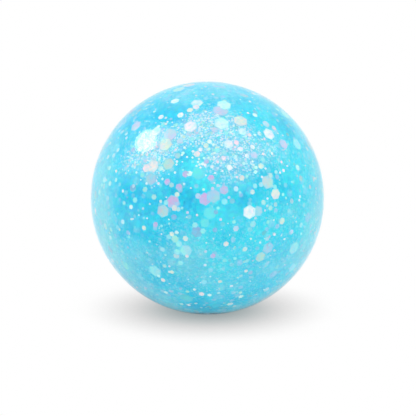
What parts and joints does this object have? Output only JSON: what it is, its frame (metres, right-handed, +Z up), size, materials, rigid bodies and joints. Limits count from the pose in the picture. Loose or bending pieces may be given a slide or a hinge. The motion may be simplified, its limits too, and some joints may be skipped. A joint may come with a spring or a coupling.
{
  "type": "light-up squeeze ball",
  "caption": "Clear soft squeeze ball filled with blue gel and iridescent hexagon glitter, with a sealed light capsule and shock switch inside.",
  "frame": {"origin": "centre of the flat foot that the ball rests on", "axes": "+Z up, -Y towards the viewer of the picture; the outside is round about Z"},
  "size_m": [0.063, 0.063, 0.0623],
  "materials": {
    "clear_rubber": "clear glossy thermoplastic rubber",
    "plug_rubber": "clear thermoplastic rubber",
    "blue_gel": "soft clear gel",
    "pearl_film": "iridescent film",
    "orchid_film": "iridescent film",
    "mint_film": "iridescent film",
    "clear_styrene": "clear moulded",
    "seal_rubber": "matt",
    "green_board": "solder mask",
    "red_lens": "tinted clear",
    "green_lens": "tinted clear",
    "blue_lens": "tinted clear",
    "tinned_wire": "tinned",
    "black_ceramic": "matt",
    "black_epoxy": "glossy drop",
    "cell_steel": "nickel plated",
    "blue_sleeve": "shrink film",
    "contact_brass": "plain",
    "contact_steel": "nickel plated",
    "spring_brass": "gold plated wire"
  },
  "bodies": {
    "ball": {"outer_skin": "clear_rubber", "filler_plug": "plug_rubber", "gel_fill": "blue_gel", "large_flakes": "pearl_film", "medium_flakes": "orchid_film", "small_flakes": "mint_film"},
    "light_capsule": {"capsule_top": "clear_styrene", "capsule_base": "clear_styrene", "capsule_seal": "seal_rubber", "circuit_board": "green_board", "red_led": "red_lens", "green_led": "green_lens", "blue_led": "blue_lens", "led_leads": "tinned_wire", "chip_resistors": "black_ceramic", "controller_blob": "black_epoxy", "upper_cell": "cell_steel", "middle_cell": "cell_steel", "lower_cell": "cell_steel", "cell_sleeve": "blue_sleeve", "positive_contact": "contact_brass", "negative_contact": "contact_steel", "contact_post": "contact_brass"},
    "shock_spring": {"shock_spring": "spring_brass"}
  },
  "joints": [
    {"name": "squeeze", "type": "slide", "parent": "ball", "child": "light_capsule", "axis": [0, 0, -1], "range_m": [0, 0.0077], "stiffness_N_per_m": 400, "deforming": ["outer_skin", "gel_fill"]},
    {"name": "spring_sway", "type": "hinge", "parent": "light_capsule", "child": "shock_spring", "pos_m": [0.00183, 0, 0.0318], "axis": [1, 0, 0], "range_deg": [-12, 12], "stiffness_Nm_per_rad": 0.0002}
  ]
}
